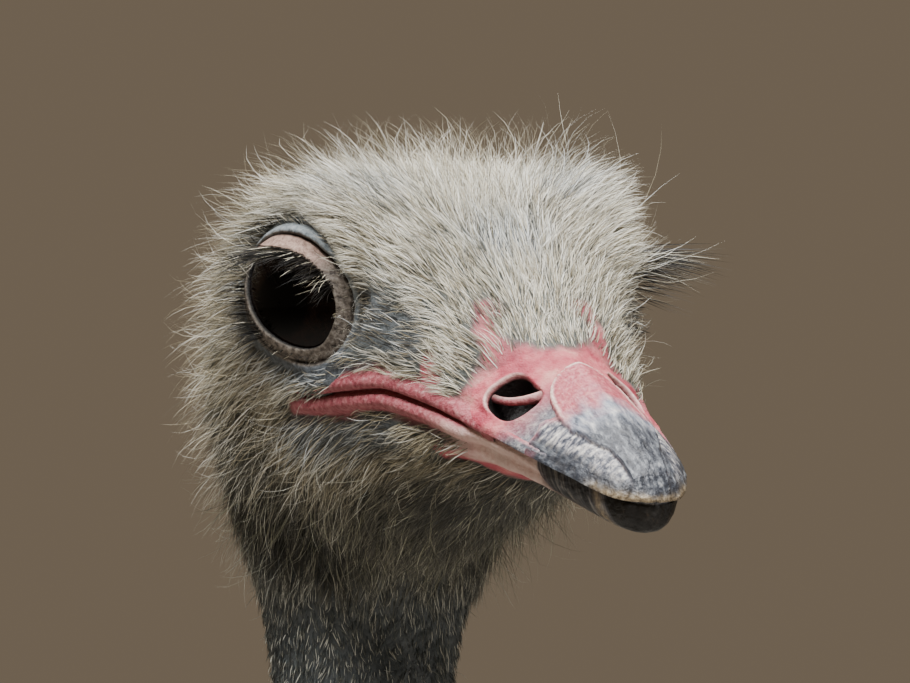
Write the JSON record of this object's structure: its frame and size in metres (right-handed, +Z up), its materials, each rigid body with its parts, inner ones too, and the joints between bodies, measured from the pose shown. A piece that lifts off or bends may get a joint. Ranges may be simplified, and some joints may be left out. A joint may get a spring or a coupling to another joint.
{
  "type": "ostrich",
  "caption": "Life-size standing male ostrich: downy head, pink bill, dark eyes, long neck, black body plumes, pale tail and bare legs, as a still display model.",
  "frame": {"origin": "on the floor, under the middle of the bird's length and width", "axes": "+Z up, the bird faces -Y, its left side is +X"},
  "size_m": [0.66, 1.53, 2.3695],
  "materials": {
    "head_down": "bluish skin under short cream down",
    "neck_down": "dark grey skin under short pale-tipped bristles",
    "bill_horn": "pink horn, weathered grey towards the tip",
    "eyeball": "wet, near-black brown",
    "body_plumes": "flesh under loose black plumes",
    "wing_plumes": "loose black plumes with white ones at the end",
    "tail_plumes": "loose off-white plumes, soiled at the tips",
    "thigh_skin": "bare pinkish-grey skin, finely wrinkled",
    "shank_scutes": "horny scutes and pebbled pads",
    "nail_horn": "dark worn horn"
  },
  "bodies": {
    "root": {"head": "head_down", "upper_bill": "bill_horn", "lower_bill": "bill_horn", "eye_left": "eyeball", "eye_right": "eyeball", "neck_upper": "neck_down", "neck_lower": "neck_down", "trunk": "body_plumes", "wing_left": "wing_plumes", "wing_right": "wing_plumes", "tail": "tail_plumes", "thigh_left": "thigh_skin", "shank_left": "shank_scutes", "middle_toe_left": "shank_scutes", "outer_toe_left": "shank_scutes", "nail_left": "nail_horn", "thigh_right": "thigh_skin", "shank_right": "shank_scutes", "middle_toe_right": "shank_scutes", "outer_toe_right": "shank_scutes", "nail_right": "nail_horn"}
  },
  "joints": []
}
